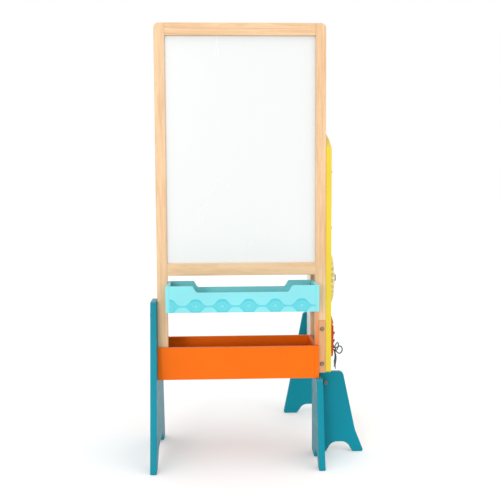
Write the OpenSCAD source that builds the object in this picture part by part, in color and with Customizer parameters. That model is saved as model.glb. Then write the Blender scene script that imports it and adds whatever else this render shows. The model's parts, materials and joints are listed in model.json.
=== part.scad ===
// Children's easel: a framed drawing board with a pen tray and a toy bin, and a painted activity board
// standing behind its right stile at a right angle. Three foot panels and one side panel carry both.
// Model frame: the easel faces -Y, +X is its right, +Z is up. The driving positions are measured from the
// middle of the drawing frame's front face at floor level; place() then moves everything so that the
// origin is the bottom centre of the whole easel's box.

/* [Drawing frame] */
// Width over both stiles
frame_w = 456; // [400:2:560]
// Height of the top edge above the floor
frame_top = 1182; // [1080:2:1320]
// Width of a stile seen from the front
stile_w = 28; // [22:1:34]
// Depth of stiles and rails, front to back
stile_d = 24; // [20:1:30]
// Height of the top rail
top_rail_h = 33; // [26:1:44]
// Height of the lower rail
lower_rail_h = 33; // [26:1:44]
// Bottom edge of the lower rail above the floor
lower_rail_z = 513; // [505:1:600]
// Radius of the two top outer corners
frame_corner_r = 14; // [6:1:20]
// Thickness of each drawing sheet
sheet_t = 4; // [3:0.5:5]
// How deep the sheets sit in the grooves of the frame
groove_depth = 8; // [5:1:10]
// Diameter of a rail dowel
dowel_d = 8; // [6:0.5:10]
// Length of a rail dowel
dowel_l = 44; // [36:1:50]

/* [Pen tray] */
// Bottom of the tray above the floor
tray_z = 425; // [420:1:432]
// Height of the tray walls
tray_h = 69; // [55:1:76]
// How far the tray stands out in front of the frame
tray_out = 83; // [60:1:110]
// How far the tray reaches behind the frame's front face
tray_back = 49; // [34:1:60]
// Thickness of the tray walls
tray_wall = 9; // [7:0.5:12]
// Thickness of the tray bottom
tray_floor = 6; // [4:0.5:9]
// Depth of the dip along the front and back walls
tray_dip = 17; // [10:1:24]
// Length of the dip
tray_dip_w = 240; // [180:2:300]

/* [Toy bin] */
// Bottom of the bin above the floor, which is also the height of the two corner foot panels
bin_z = 231; // [215:1:250]
// Height of the bin walls
bin_h = 88; // [76:1:104]
// Depth of the bin, outside
bin_depth = 170; // [150:1:185]
// Thickness of the bin's front and back boards
bin_wall = 10; // [8:0.5:12]
// Thickness of the bin's right end panel
bin_end_t = 12; // [9:0.5:15]
// Thickness of the bin's bottom board
bin_floor = 8; // [6:0.5:10]
// How far the bin's end panel stands inside the right stile's inner face
bin_end_inset = 3; // [1:0.5:6]

/* [Painted panels] */
// Thickness of the side panel, the foot panels and the activity board
panel_t = 17; // [14:0.5:20]
// Height of the left side panel
side_h = 446; // [415:2:480]
// Front end of the left side panel's foot, in front of the frame
side_front = 99; // [70:1:130]
// Rear end of the left side panel's foot
side_rear = 236; // [215:1:270]
// Length of one foot of the left side panel
side_foot = 42; // [30:1:60]
// Height of the arch between the feet of the side panel
side_arch = 42; // [30:1:60]
// Front end of the right foot panel, in front of the frame
right_front = 93; // [75:1:110]
// Distance from the frame's front face to the outrigger foot's front face
outrigger_y = 62; // [50:1:75]
// How far the outrigger foot reaches to the right of the right foot panel's inner face
outrigger_w = 146; // [125:1:170]
// How much the outer edge of a corner foot panel leans inwards over its height
foot_lean = 60; // [45:1:75]
// Length of the ground contact of a corner foot panel
corner_foot = 32; // [24:1:38]
// Height of the arches in the foot panels
foot_arch = 29; // [20:1:40]
// Width of the rear foot on the floor
rear_foot_w = 186; // [150:2:220]
// Width of the rear foot at its top
rear_foot_top = 56; // [46:1:70]
// Height of the rear foot
rear_foot_h = 338; // [310:2:370]
// How far the rear foot's centre stands outwards of the activity board's middle plane
rear_foot_shift = 8; // [0:1:12]

/* [Activity board] */
// Thickness of the activity board
board_t = 16; // [12:0.5:20]
// Depth of the activity board, from its near edge to its far edge
board_w = 453; // [420:1:500]
// Bottom edge of the activity board above the floor
board_z = 243; // [236:1:252]
// Height of the board's two upper corners above the floor
board_shoulder = 855; // [780:1:900]
// Rise of the arched top above the corners
board_rise = 60; // [30:1:90]
// Near edge of the board behind the frame's front face
board_y = 2; // [0:0.5:4]

/* [Gears] */
// Module of the gear teeth
gear_module = 5.2; // [4.5:0.1:5.4]
// Teeth on the large gear
large_teeth = 24; // [20:1:26]
// Teeth on the medium gear
medium_teeth = 16; // [13:1:18]
// Teeth on the small gear
small_teeth = 12; // [11:1:14]
// Thickness of the gears
gear_t = 14; // [10:1:18]
// Play between meshed teeth, measured along the pitch line
gear_backlash = 0.6; // [0.4:0.1:1]
// Distance of the large gear's axle behind the frame's front face
gear_y = 110; // [95:1:130]
// Height of the large gear's axle
gear_z = 492; // [480:1:520]
// Diameter of the axle pins
axle_d = 10; // [8:0.5:12]
// Radial clearance between an axle pin and its gear
axle_clearance = 0.05; // [0.02:0.01:0.1]
// Clearance between a gear and the collar or the cap beside it
axle_end_play = 0.3; // [0.2:0.1:0.6]

/* [Lacing shoe] */
// Width of the shoe
shoe_w = 86; // [76:1:96]
// Height of the laced part
shoe_h = 92; // [86:1:100]
// Height of the toe cap above it
toe_h = 36; // [28:1:44]
// Gap between toe cap and laced part
shoe_gap = 4; // [2:0.5:6]
// Thickness of the shoe
shoe_t = 14; // [12:0.5:16]
// Bottom of the shoe above the floor
shoe_z = 272; // [262:1:282]
// Middle of the shoe behind the frame's front face
shoe_y = 95; // [80:1:120]
// Diameter of the lace
lace_d = 3.6; // [3:0.1:4]

/* [Fasteners] */
// Diameter of the bolt heads
bolt_head_d = 12; // [10:0.5:14]
// Diameter of the bolt shanks
bolt_d = 6; // [4:0.5:7]
// Diameter of the small screw heads
screw_head_d = 8; // [6:0.5:9]
// Diameter of the small screw shanks
screw_d = 4; // [3:0.5:5]

/* [Hidden] */
$fn = 64;

// Colours
pine = [0.94, 0.80, 0.65];
teal = [0.04, 0.58, 0.66];
orange = [0.99, 0.46, 0.07];
aqua = [0.58, 0.93, 0.96];
yellow = [0.94, 0.86, 0.24];
steel = [0.55, 0.50, 0.46];

// Planes and edges of the frame
x_out = frame_w / 2;
x_in = x_out - stile_w;
y_sheet = (stile_d - 2 * sheet_t) / 2;
z_open_top = frame_top - top_rail_h;
z_open_low = lower_rail_z + lower_rail_h;

// The bin
bin_front_y = -bin_wall;
bin_back_y = bin_front_y + bin_depth;
bin_end_x = x_in - bin_end_inset;
bin_end_out = bin_end_x + bin_end_t;
bin_top = bin_z + bin_h;

// Painted panels
side_x = -x_out;
outrigger_back = outrigger_y + panel_t;
board_x = x_out;
board_face = board_x + board_t;
board_far = board_y + board_w;
skirt_z = 150;
skirt_end = outrigger_back + 130;
rear_foot_x = board_x + board_t / 2 + rear_foot_shift;
edge_r = 12;
foot_r = 5;
// Height of a bolt head as a share of its diameter
head_share = 0.3;

// Corner joint
batten_d = 10;
batten_top = 388;
batten_z = board_z;
post_d = 24;
post_low = bin_z + 20;
post_top = board_shoulder - 35;
corner_bolt_z = [batten_z + 25, batten_top - 24];
corner_bolt_x = (bin_end_out + x_out) / 2;

// Gears
large_r = gear_module * large_teeth / 2;
medium_r = gear_module * medium_teeth / 2;
small_r = gear_module * small_teeth / 2;
medium_dir = 10;
small_dir = -15;
medium_y = gear_y + (large_r + medium_r) * cos(medium_dir);
medium_z = gear_z + (large_r + medium_r) * sin(medium_dir);
small_y = medium_y + (medium_r + small_r) * cos(small_dir);
small_z = medium_z + (medium_r + small_r) * sin(small_dir);
collar_t = 1;
gear_x = board_face + collar_t + axle_end_play;
cap_x = gear_x + gear_t + axle_end_play;

// Shoe
shoe_face = board_face + shoe_t;
toe_z = shoe_z + shoe_h + shoe_gap;
eyelet_z = [for (row = [0:2]) shoe_z + 28 + 22 * row];
eyelet_out = 15;
slot_half = 8;
eyelet_hole_r = 2.4;
bow = [shoe_face + 8, shoe_y, shoe_z + 18];

// Outlines that reach furthest to the front and to the right
side_outline = rounded(concat(
    [[-side_front, 0, foot_r]], arch(-side_front + side_foot, side_rear - side_foot, side_arch),
    [[side_rear, 0, foot_r], [side_rear - 14, side_arch + 20, 60], [bin_back_y + 12, bin_top, 130],
     [stile_d + 34, side_h, 26], [-22, side_h, edge_r], [-side_front + 18, side_arch + 40, 160]]));
outrigger_outline = corner_foot(outrigger_w);

// The whole easel's box, and the move that puts the origin at its bottom centre
low_corner = [side_x - panel_t - head_share * bolt_head_d, min([for (p = side_outline) p[0]])];
high_corner = [x_in + max([for (p = outrigger_outline) p[0]]), board_far + panel_t + head_share * bolt_head_d];
module place() translate([-(low_corner[0] + high_corner[0]) / 2, -(low_corner[1] + high_corner[1]) / 2, 0])
    children();

// ---- helpers ----

// A closed outline through [x, y, radius] corners, each corner rounded by its own radius
function unit(v) = v / norm(v);
function arc(c, r, from, sweep) = let (n = max(2, ceil(abs(sweep) / 7.5)))
    [for (i = [0:n]) c + r * [cos(from + sweep * i / n), sin(from + sweep * i / n)]];
function corner(before, at, after, r) = r <= 0 ? [at] :
    let (u = unit(before - at), v = unit(after - at), half = acos(u * v) / 2,
         c = at + unit(u + v) * r / sin(half), p = at + u * r / tan(half) - c, q = at + v * r / tan(half) - c,
         start = atan2(p[1], p[0]), turn = atan2(q[1], q[0]) - start,
         sweep = turn > 180 ? turn - 360 : turn < -180 ? turn + 360 : turn)
    arc(c, r, start, sweep);
function flat2(p) = [p[0], p[1]];
function rounded(pts) = let (n = len(pts)) [for (i = [0:n - 1])
    each corner(flat2(pts[(i + n - 1) % n]), flat2(pts[i]), flat2(pts[(i + 1) % n]), pts[i][2])];

// A plate standing across X, its outline drawn in (y, z), from x to x + t
module across_x(x, t) translate([x, 0, 0]) rotate([90, 0, 90]) linear_extrude(t) children();
// A plate facing -Y, its outline drawn in (x, z), from y to y + t
module across_y(y, t) translate([0, y + t, 0]) rotate([90, 0, 0]) linear_extrude(t) children();
// A block between two corners
module block(lo, hi) translate(lo) cube(hi - lo);
// Cylinder along X or Y
module rod_x(p, d, l) translate(p) rotate([0, 90, 0]) cylinder(d = d, h = l);
module rod_y(p, d, l) translate(p) rotate([-90, 0, 0]) cylinder(d = d, h = l);

// A round-headed bolt along +Z: the head below z = 0, the shank above it, with a hexagon socket
module bolt(head_d, shank_d, l) {
    head_h = head_d * head_share;
    difference() {
        rotate_extrude() polygon(concat([[0, -head_h]],
            [for (a = [0:15:90]) [head_d / 2 - head_h * (1 - sin(a)) * 0.6, -head_h * cos(a)]],
            [[shank_d / 2, 0], [shank_d / 2, l], [0, l]]));
        translate([0, 0, -head_h - 1]) cylinder(d = head_d * 0.42, h = head_h * 0.6 + 1, $fn = 6);
    }
}
module bolt_into_x(p, head_d, shank_d, l) translate(p) rotate([0, 90, 0]) bolt(head_d, shank_d, l);
module bolt_from_right(p, head_d, shank_d, l) translate(p) rotate([0, -90, 0]) bolt(head_d, shank_d, l);
module bolt_into_y(p, head_d, shank_d, l) translate(p) rotate([-90, 0, 0]) bolt(head_d, shank_d, l);
module bolt_from_back(p, head_d, shank_d, l) translate(p) rotate([90, 0, 0]) bolt(head_d, shank_d, l);

// ---- drawing frame ----

module sheet_space(t) block([-x_in - groove_depth, y_sheet, z_open_low - groove_depth],
    [x_in + groove_depth, y_sheet + t, z_open_top + groove_depth]);

module rail_dowel_rods() for (side = [-1, 1], z = [lower_rail_z + lower_rail_h * 0.3,
        lower_rail_z + lower_rail_h * 0.62, z_open_top + top_rail_h * 0.4, z_open_top + top_rail_h * 0.72])
    rod_x([side * x_in - dowel_l / 2, stile_d / 2, z], dowel_d, dowel_l);

side_bolt_z = [bin_z + 30, bin_z + bin_h + 40, side_h - 40];
module side_bolt_set() for (z = side_bolt_z)
    bolt_into_x([side_x - panel_t, stile_d / 2, z], bolt_head_d, bolt_d, panel_t + stile_w * 0.7);
tray_screw_z = [tray_z + tray_h * 0.4, tray_z + tray_h * 0.72];
module tray_screw_set() for (z = tray_screw_z) {
    bolt_from_right([-x_in + tray_wall, stile_d / 2, z], screw_head_d, screw_d, tray_wall + 14);
    bolt_into_x([x_in - tray_wall, stile_d / 2, z], screw_head_d, screw_d, tray_wall + 14);
}
module corner_bolt_set() for (z = corner_bolt_z)
    bolt_into_y([corner_bolt_x, 0, z], bolt_head_d, bolt_d, stile_d - 4);
board_screw_z = [post_low + 40, 440, 640, post_top - 30];
module board_screw_set() for (z = board_screw_z, y = [stile_d / 2, bin_back_y + post_d / 2])
    bolt_from_right([board_face, y, z], screw_head_d, screw_d, board_t + 12);

module stile_outline(side) polygon(rounded([[side * x_in, 0, 0], [side * x_out, 0, 0],
    [side * x_out, frame_top, frame_corner_r], [side * x_in, frame_top, 0]]));

module left_stile() place() color(pine) difference() {
    intersection() {
        across_y(0, stile_d) stile_outline(-1);
        block([-x_out, 0, bin_z + bin_floor], [-x_in, stile_d, frame_top]);
    }
    sheet_space(2 * sheet_t);
    rail_dowel_rods();
    side_bolt_set();
    tray_screw_set();
}

module right_stile() place() color(pine) difference() {
    intersection() {
        across_y(0, stile_d) stile_outline(1);
        block([x_in, 0, board_z], [x_out, stile_d, frame_top]);
    }
    sheet_space(2 * sheet_t);
    rail_dowel_rods();
    tray_screw_set();
    board_screw_set();
    // housing for the bin's end panel, then the lap for the corner batten
    block([x_in - 1, -1, board_z - 1], [bin_end_out, stile_d + 1, bin_top]);
    block([bin_end_out, -1, batten_z - 1], [x_out + 1, batten_d, batten_top]);
    corner_bolt_set();
}

module rail(z, h) difference() {
    block([-x_in, 0, z], [x_in, stile_d, z + h]);
    sheet_space(2 * sheet_t);
    rail_dowel_rods();
}
module top_rail() place() color(pine) rail(z_open_top, top_rail_h);
module lower_rail() place() color(pine) rail(lower_rail_z, lower_rail_h);
module rail_dowels() place() color(pine) rail_dowel_rods();
module whiteboard() place() color("white") sheet_space(sheet_t);
module chalkboard() place() color("darkslategray") translate([0, sheet_t, 0]) sheet_space(sheet_t);

// ---- pen tray ----

// Long wall with a dip in its top edge
module tray_long_wall(y) across_y(y, tray_wall) polygon(rounded([
    [-x_in + tray_wall, tray_z, 0], [x_in - tray_wall, tray_z, 0], [x_in - tray_wall, tray_z + tray_h, 0],
    [tray_dip_w / 2 + tray_dip * 0.6, tray_z + tray_h, 5], [tray_dip_w / 2, tray_z + tray_h - tray_dip, 8],
    [-tray_dip_w / 2, tray_z + tray_h - tray_dip, 8], [-tray_dip_w / 2 - tray_dip * 0.6, tray_z + tray_h, 5],
    [-x_in + tray_wall, tray_z + tray_h, 0]]));
module tray_end(x) difference() {
    block([x, -tray_out, tray_z], [x + tray_wall, tray_back, tray_z + tray_h]);
    tray_screw_set();
}
module tray_front() place() color(aqua) tray_long_wall(-tray_out);
module tray_back() place() color(aqua) tray_long_wall(tray_back - tray_wall);
module tray_left_end() place() color(aqua) tray_end(-x_in);
module tray_right_end() place() color(aqua) tray_end(x_in - tray_wall);
module tray_bottom() place() color(aqua) block([-x_in + tray_wall, -tray_out + tray_wall, tray_z],
    [x_in - tray_wall, tray_back - tray_wall, tray_z + tray_floor]);
module tray_screws() place() color(steel) tray_screw_set();

// ---- toy bin ----

bin_screw_z = [bin_z + bin_h * 0.25, bin_z + bin_h * 0.75];
module bin_end_screws() for (z = bin_screw_z, y = [bin_front_y + bin_wall / 2, bin_back_y - bin_wall / 2])
    bolt_from_right([bin_end_out, y, z], screw_head_d, screw_d, bin_end_t + 18);
module bin_side_screws() for (z = bin_screw_z)
    bolt_into_x([side_x - panel_t, bin_back_y - bin_wall / 2, z], screw_head_d, screw_d, panel_t + 18);
module bin_front() place() color(orange) difference() {
    block([side_x, bin_front_y, bin_z], [bin_end_x, 0, bin_top]);
    bin_end_screws();
}
module bin_back() place() color(orange) difference() {
    block([side_x, bin_back_y - bin_wall, bin_z], [bin_end_x, bin_back_y, bin_top]);
    bin_end_screws();
    bin_side_screws();
}
module bin_bottom() place() color(orange)
    block([side_x, 0, bin_z], [bin_end_x, bin_back_y - bin_wall, bin_z + bin_floor]);
module bin_right_end() place() color(orange) difference() {
    block([bin_end_x, bin_front_y, bin_z], [bin_end_out, bin_back_y, bin_top]);
    bin_end_screws();
    foot_dowel_rods();
}
module bin_screws() place() color(steel) {
    bin_end_screws();
    bin_side_screws();
}

// ---- side panel and feet ----

// The arch between two feet: flat crown, and a rounded inner corner on each foot
function arch(x0, x1, h) = let (slope = (x1 - x0) * 0.22)
    [[x0, 0, 8], [x0 + slope, h, h * 0.9], [x1 - slope, h, h * 0.9], [x1, 0, 8]];

module left_side_panel() place() color(teal) difference() {
    across_x(side_x - panel_t, panel_t) polygon(side_outline);
    side_bolt_set();
    bin_side_screws();
}
module side_panel_bolts() place() color(steel) side_bolt_set();

// Outline of a corner foot panel: x = 0 is the edge at the corner, the outer edge leans in as it rises
function corner_foot(w) = rounded(concat(
    [[0, 0, foot_r]], arch(corner_foot + 6, w - corner_foot, foot_arch),
    [[w, 0, foot_r], [w - foot_lean * 0.42, bin_z * 0.28, 90], [w - foot_lean, bin_z, edge_r], [0, bin_z, 0]]));

module right_foot_panel() place() color(teal) difference() {
    translate([0, outrigger_y, 0]) mirror([0, 1, 0]) across_x(x_in, panel_t)
        polygon(corner_foot(right_front + outrigger_y));
    foot_bolt_set();
    foot_dowel_rods();
}
module outrigger_foot() place() color(teal) difference() {
    across_y(outrigger_y, panel_t) translate([x_in, 0]) polygon(outrigger_outline);
    foot_bolt_set();
}
module rear_foot() place() color(teal) difference() {
    across_y(board_far, panel_t) translate([rear_foot_x, 0]) polygon(rounded(concat(
        [[-rear_foot_w / 2, 0, foot_r]], arch(-rear_foot_w / 2 + 44, rear_foot_w / 2 - 44, foot_arch),
        [[rear_foot_w / 2, 0, foot_r], [rear_foot_w / 2 - 15, rear_foot_h * 0.22, 90],
         [rear_foot_top / 2, rear_foot_h, edge_r], [-rear_foot_top / 2, rear_foot_h, edge_r],
         [-rear_foot_w / 2 + 15, rear_foot_h * 0.22, 90]])));
    foot_bolt_set();
}
// Upright dowels between the right foot panel and the bin's end panel standing on it
module foot_dowel_rods() for (y = [16, outrigger_y - 16])
    translate([(x_in + bin_end_out) / 2, y, bin_z - 20]) cylinder(d = 6, h = 40);
module foot_dowels() place() color(pine) foot_dowel_rods();

foot_bolt_z = bin_z - 31;
module foot_bolt_set() {
    board_mid = board_x + board_t / 2;
    // outrigger foot into the board's skirt and into the edge of the right foot panel
    bolt_into_y([board_mid, outrigger_y, foot_bolt_z], bolt_head_d, bolt_d, panel_t + 26);
    for (z = [90, foot_bolt_z - 20])
        bolt_from_back([x_in + panel_t / 2, outrigger_back, z], bolt_head_d, bolt_d, panel_t + 24);
    // rear foot into the board's far edge
    for (z = [board_z + 20, rear_foot_h - 36])
        bolt_from_back([board_mid, board_far + panel_t, z], bolt_head_d, bolt_d, panel_t + 26);
}
module foot_bolts() place() color(steel) foot_bolt_set();

// ---- corner joint ----

module rear_post() place() color(pine) difference() {
    block([bin_end_out - 3, bin_back_y, post_low], [board_x, bin_back_y + post_d, post_top]);
    board_screw_set();
}
module corner_batten() place() color(pine) difference() {
    block([bin_end_out, 0, batten_z], [x_out, batten_d, batten_top]);
    corner_bolt_set();
}
module corner_bolts() place() color(steel) corner_bolt_set();

// ---- activity board ----

arch_r = (board_w * board_w / 4 + board_rise * board_rise) / (2 * board_rise);
arch_half = asin(board_w / 2 / arch_r);
module activity_board() place() color(yellow) difference() {
    across_x(board_x, board_t) polygon(concat(
        rounded([[board_y, board_shoulder, 0], [board_y, board_z, 6], [outrigger_back, board_z, 0],
            [outrigger_back, skirt_z, 10], [outrigger_back + 34, skirt_z, 20], [skirt_end - 30, board_z, 60],
            [board_far, board_z, 6], [board_far, board_shoulder, 0]]),
        arc([board_y + board_w / 2, board_shoulder + board_rise - arch_r], arch_r, 90 - arch_half,
            2 * arch_half)));
    board_screw_set();
    axle_set(0);
    foot_bolt_set();
}
module board_screws() place() color(steel) board_screw_set();

// ---- gears ----

// One involute tooth centred on +x, as points from root to root
function involute(base_r, a) = base_r * [cos(a) + a * PI / 180 * sin(a), sin(a) - a * PI / 180 * cos(a)];
function involute_angle(base_r, r) = sqrt(r * r / (base_r * base_r) - 1) * 180 / PI;
function turn2(p, a) = [p[0] * cos(a) - p[1] * sin(a), p[0] * sin(a) + p[1] * cos(a)];
module gear_outline(teeth) {
    pitch_r = gear_module * teeth / 2;
    base_r = pitch_r * cos(20);
    tip_r = pitch_r + gear_module * 0.9;
    root_r = pitch_r - gear_module * 1.2;
    tip_a = involute_angle(base_r, tip_r);
    p0 = involute(base_r, involute_angle(base_r, pitch_r));
    half = 90 / teeth - gear_backlash / 2 / pitch_r * 180 / PI / 2 + atan2(p0[1], p0[0]);
    flank = [for (i = [0:4]) turn2(involute(base_r, tip_a * i / 4), -half)];
    root = turn2([root_r, 0], -half - 0.3);
    polygon([for (k = [0:teeth - 1]) each [
        turn2(root, 360 / teeth * k),
        for (i = [0:4]) turn2(flank[i], 360 / teeth * k),
        for (i = [4:-1:0]) turn2([flank[i][0], -flank[i][1]], 360 / teeth * k),
        turn2([root[0], -root[1]], 360 / teeth * k)]]);
}
module gear(y, z, teeth, phase, windows) translate([0, y, z]) difference() {
    across_x(gear_x, gear_t) rotate(phase) difference() {
        gear_outline(teeth);
        pitch_r = gear_module * teeth / 2;
        if (windows > 0) for (k = [0:windows - 1])
            rotate(360 / windows * (k + 0.5)) translate([pitch_r * 0.58, 0]) circle(r = pitch_r * 0.2);
    }
    rod_x([gear_x - 1, 0, 0], axle_d + 2 * axle_clearance, gear_t + 2);
}
// Each gear is turned so that its teeth stand in the gaps of the gear before it
medium_phase = medium_dir + 180 + 180 / medium_teeth;
medium_offset = small_dir - medium_phase;
small_phase = small_dir + 180 + 180 / small_teeth + medium_offset * medium_teeth / small_teeth;
module large_gear() place() color([0.96, 0.93, 0.78]) gear(gear_y, gear_z, large_teeth, medium_dir, 5);
module medium_gear() place() color(orange) gear(medium_y, medium_z, medium_teeth, medium_phase, 4);
module small_gear() place() color(teal) gear(small_y, small_z, small_teeth, small_phase, 0);

// Axle pins with a collar against the board; the pin's root sits in a blind hole in the board
module axle_set(gap) for (p = [[gear_y, gear_z], [medium_y, medium_z], [small_y, small_z]])
    rod_x([board_face - 10, p[0], p[1]], axle_d, cap_x - board_face + 10 + gap);
module gear_axles() place() color("silver") {
    axle_set(0);
    for (p = [[gear_y, gear_z], [medium_y, medium_z], [small_y, small_z]])
        rod_x([board_face, p[0], p[1]], axle_d + 8, collar_t);
}
module cap(y, z, d, h) translate([cap_x, y, z]) rotate([0, 90, 0]) rotate_extrude()
    polygon(concat([[0, 0], [d / 2, 0]], [for (a = [0:15:90]) [d / 2 - 2 + 2 * cos(a), h - 2 + 2 * sin(a)]],
        [[0, h]]));
module gear_caps() place() color("gray") {
    cap(gear_y, gear_z, 22, 12);
    cap(medium_y, medium_z, 18, 8);
    cap(small_y, small_z, 18, 8);
}

// ---- lacing shoe ----

module eyelets_at() for (z = eyelet_z, side = [-1, 1]) translate([0, shoe_y + side * eyelet_out, z]) children();
module shoe_upper() place() color([0.86, 0.26, 0.12]) difference() {
    across_x(board_face, shoe_t) difference() {
        polygon(rounded([[shoe_y - shoe_w / 2 + 9, shoe_z, 16], [shoe_y + shoe_w / 2 - 9, shoe_z, 16],
            [shoe_y + shoe_w / 2, shoe_z + shoe_h, 3], [shoe_y - shoe_w / 2, shoe_z + shoe_h, 3]]));
        polygon(rounded([[shoe_y - slot_half, shoe_z + 14, 7.5], [shoe_y + slot_half, shoe_z + 14, 7.5],
            [shoe_y + slot_half, shoe_z + shoe_h - 12, 7.5], [shoe_y - slot_half, shoe_z + shoe_h - 12, 7.5]]));
    }
    eyelets_at() rod_x([shoe_face - 8, 0, 0], 2 * eyelet_hole_r + 2, 9);
}
module shoe_toe_cap() place() color([0.80, 0.46, 0.18]) intersection() {
    across_x(board_face, shoe_t) polygon(rounded([[shoe_y - shoe_w / 2, toe_z, 3],
        [shoe_y + shoe_w / 2, toe_z, 3], [shoe_y + shoe_w / 2 - 8, toe_z + toe_h, 30],
        [shoe_y - shoe_w / 2 + 8, toe_z + toe_h, 30]]));
    across_y(shoe_y - shoe_w, 2 * shoe_w) polygon([[board_face, toe_z], [shoe_face, toe_z],
        [shoe_face - 1, toe_z + 6], [board_face + 5, toe_z + toe_h], [board_face, toe_z + toe_h]]);
}
module shoe_tongue() place() color([0.93, 0.88, 0.72]) across_x(board_face, shoe_t - 6)
    polygon(rounded([[shoe_y - slot_half, shoe_z + 14, 7.5], [shoe_y + slot_half, shoe_z + 14, 7.5],
        [shoe_y + slot_half, shoe_z + shoe_h - 12, 7.5], [shoe_y - slot_half, shoe_z + shoe_h - 12, 7.5]]));
module shoe_eyelets() place() color("silver") eyelets_at() translate([shoe_face, 0, 0]) rotate([0, 90, 0])
    rotate_extrude() polygon([[eyelet_hole_r, -8], [eyelet_hole_r + 1, -8], [eyelet_hole_r + 1, 0],
        [eyelet_hole_r + 2.4, 0], [eyelet_hole_r + 2, 0.8], [eyelet_hole_r, 0.8]]);

// Lace held by the eyelets: one bar across the toe end, then two crossed pairs
lace_x = shoe_face + 0.8 + lace_d / 2;
module lace_run(a, b) {
    d = b - a;
    translate(a) rotate([0, acos(d[2] / norm(d)), atan2(d[1], d[0])]) cylinder(d = lace_d, h = norm(d), $fn = 24);
}
module lace_crossings() place() color([0.14, 0.27, 0.31]) {
    lace_run([lace_x, shoe_y - eyelet_out, eyelet_z[2]], [lace_x, shoe_y + eyelet_out, eyelet_z[2]]);
    for (row = [0:1]) {
        lace_run([lace_x, shoe_y - eyelet_out, eyelet_z[row] + 2], [lace_x, shoe_y + eyelet_out, eyelet_z[row + 1] - 4]);
        lace_run([lace_x + lace_d, shoe_y + eyelet_out, eyelet_z[row] + 2],
            [lace_x + lace_d, shoe_y - eyelet_out, eyelet_z[row + 1] - 4]);
    }
}

// Free lace: offsets from the bow's knot, from the lowest left eyelet through the knot, round a loop that
// droops to the right, back through the knot and down to the tip. The right lace is its mirror.
lace_route = [[-7, -15, 9.5], [-4, -15, 9.2], [-1.5, -11.5, 7], [0, -6, 3.6], [1, 0, 2.4], [2.5, 6, 3],
    [5, 13, 6.5], [9, 20, 10.5], [13, 26.5, 12], [16, 31, 9], [17, 32.5, 3], [15, 30.5, -4], [11.5, 25, -8.5],
    [8, 18, -9], [4.5, 11, -7], [1.5, 5, -4.6], [0, 0, -3.6], [0, -5, -6], [1.5, -9, -11], [3, -11, -18],
    [3.4, -12, -26], [2.6, -12.4, -34], [1.4, -12.6, -42]];
function catmull(a, b, c, d, t) = 0.5 * (2 * b + (c - a) * t + (2 * a - 5 * b + 4 * c - d) * t * t
    + (3 * b - a - 3 * c + d) * t * t * t);
function at_end(p, i) = p[max(0, min(len(p) - 1, i))];
function smooth(p, n) = [for (i = [0:len(p) - 2], k = [0:n - 1])
    catmull(at_end(p, i - 1), p[i], p[i + 1], at_end(p, i + 2), k / n), p[len(p) - 1]];
function heading(p, i) = unit(at_end(p, i + 1) - at_end(p, i - 1));
// Side vectors carried along the route, so that the tube doesn't twist
function carry(p, i, v) = let (t = heading(p, i), w = unit(v - (v * t) * t))
    i == len(p) - 1 ? [w] : concat([w], carry(p, i + 1, w));
module tube(p, d, sides) {
    side = carry(p, 0, [0, 0.3, 1]);
    rings = [for (i = [0:len(p) - 1]) let (t = heading(p, i), u = side[i], w = cross(t, u))
        for (k = [0:sides - 1]) p[i] + d / 2 * (cos(360 / sides * k) * u + sin(360 / sides * k) * w)];
    walls = [for (i = [0:len(p) - 2], k = [0:sides - 1]) let (a = i * sides + k, b = i * sides + (k + 1) % sides)
        each [[a, b + sides, b], [a, a + sides, b + sides]]];
    last = (len(p) - 1) * sides;
    polyhedron(rings, concat([[for (k = [0:sides - 1]) k]], walls,
        [[for (k = [sides - 1:-1:0]) last + k]]), convexity = 6);
}
function mirrored(p) = [p[0] + lace_d * 0.2, -p[1], p[2]];
module lace_left() place() color([0.14, 0.27, 0.31]) translate(bow) tube(smooth(lace_route, 2), lace_d, 8);
module lace_right() place() color([0.14, 0.27, 0.31]) translate(bow)
    tube(smooth([for (p = lace_route) mirrored(p)], 2), lace_d, 8);
module lace_knot() place() color([0.14, 0.27, 0.31]) translate(bow) rotate([-90, 0, 0])
    rotate_extrude() polygon([[0, -4.5], [4.5, -4], [6.2, -1.5], [6.2, 1.5], [4.5, 4], [0, 4.5]]);
module lace_tips() place() color("gray") for (side = [-1, 1])
    translate(bow + [side < 0 ? 1.4 : 1.4 + lace_d * 0.2, side * 12.6, -42 - 14]) cylinder(d = lace_d - 0.4, h = 14);

left_stile();
right_stile();
top_rail();
lower_rail();
rail_dowels();
whiteboard();
chalkboard();
tray_front();
tray_back();
tray_left_end();
tray_right_end();
tray_bottom();
tray_screws();
bin_front();
bin_back();
bin_bottom();
bin_right_end();
bin_screws();
left_side_panel();
side_panel_bolts();
right_foot_panel();
outrigger_foot();
rear_foot();
foot_bolts();
foot_dowels();
rear_post();
corner_batten();
corner_bolts();
activity_board();
board_screws();
large_gear();
medium_gear();
small_gear();
gear_axles();
gear_caps();
shoe_upper();
shoe_toe_cap();
shoe_tongue();
shoe_eyelets();
lace_crossings();
lace_left();
lace_right();
lace_knot();
lace_tips();
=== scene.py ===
# %% [markdown]
# # A child's easel, finished for the camera
#
# The easel has three groups of pieces: a pine frame round a drawing board, with a pen tray and a toy bin
# hung under it; a yellow activity board with gears and a lacing shoe; and the teal panels that they stand
# on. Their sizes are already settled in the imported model. This lesson rounds their edges, makes their
# bolts, eyelets and laces, and paints everything. Nothing is moved, because other people rely on the sizes.

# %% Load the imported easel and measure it
import json
import math

import bmesh
import bpy
from mathutils import Matrix, Vector

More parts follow.
